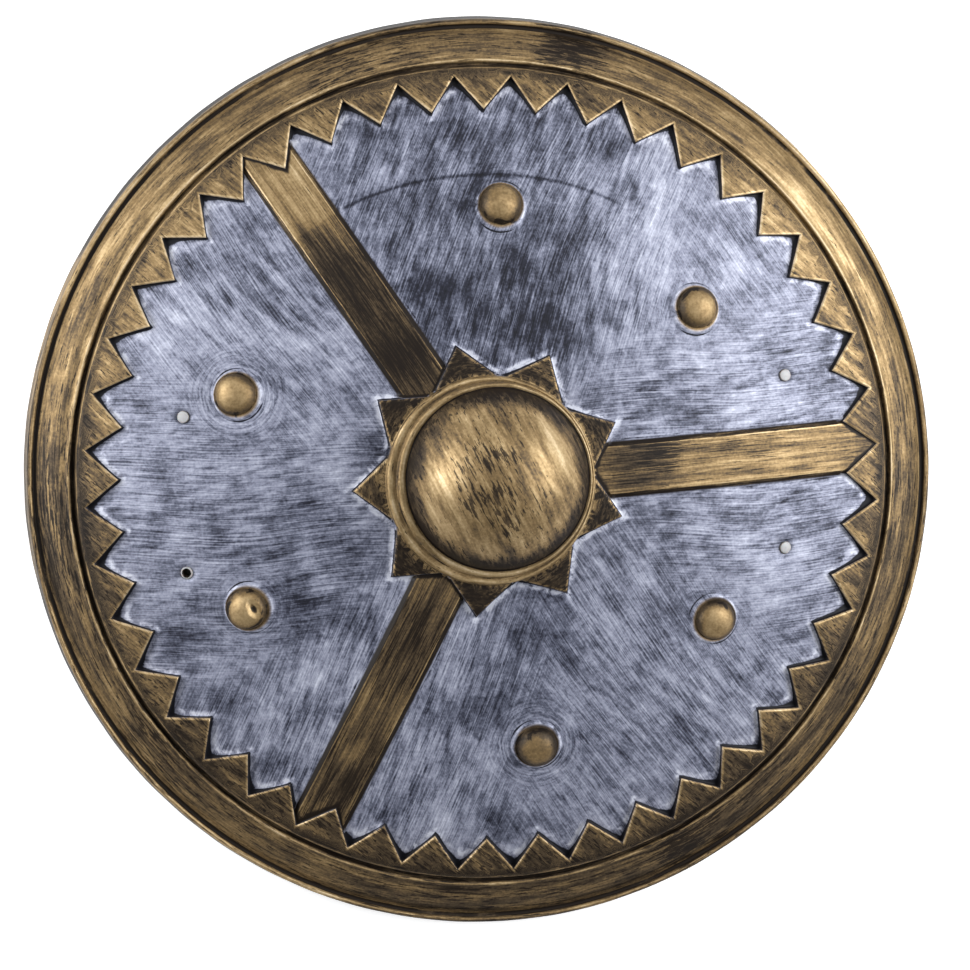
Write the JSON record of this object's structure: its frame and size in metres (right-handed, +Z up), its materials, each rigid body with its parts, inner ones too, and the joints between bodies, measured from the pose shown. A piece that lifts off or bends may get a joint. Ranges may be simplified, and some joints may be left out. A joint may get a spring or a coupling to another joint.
{
  "type": "costume round shield",
  "caption": "Round domed costume shield, formed from thin plastic sheet painted silver and gold, with a boss, star, bars, studs and a toothed rim, and webbing straps behind.",
  "frame": {"origin": "centre of the rim on the ground, with the shield lying on its rim and the boss up", "axes": "+Z up through the boss, +X along the bar that points right in the picture, +Y to the picture's top"},
  "size_m": [0.5, 0.5, 0.1127],
  "materials": {
    "painted_sheet": "black sheet, dry-brushed silver on the field and old gold on the relief, satin",
    "nylon": "natural white moulded nylon",
    "webbing": "black woven webbing"
  },
  "bodies": {
    "root": {"shield_shell": "painted_sheet", "rivet_left_upper": "nylon", "rivet_left_lower": "nylon", "rivet_right_upper": "nylon", "rivet_right_lower": "nylon", "arm_strap": "webbing", "hand_strap": "webbing"}
  },
  "joints": []
}
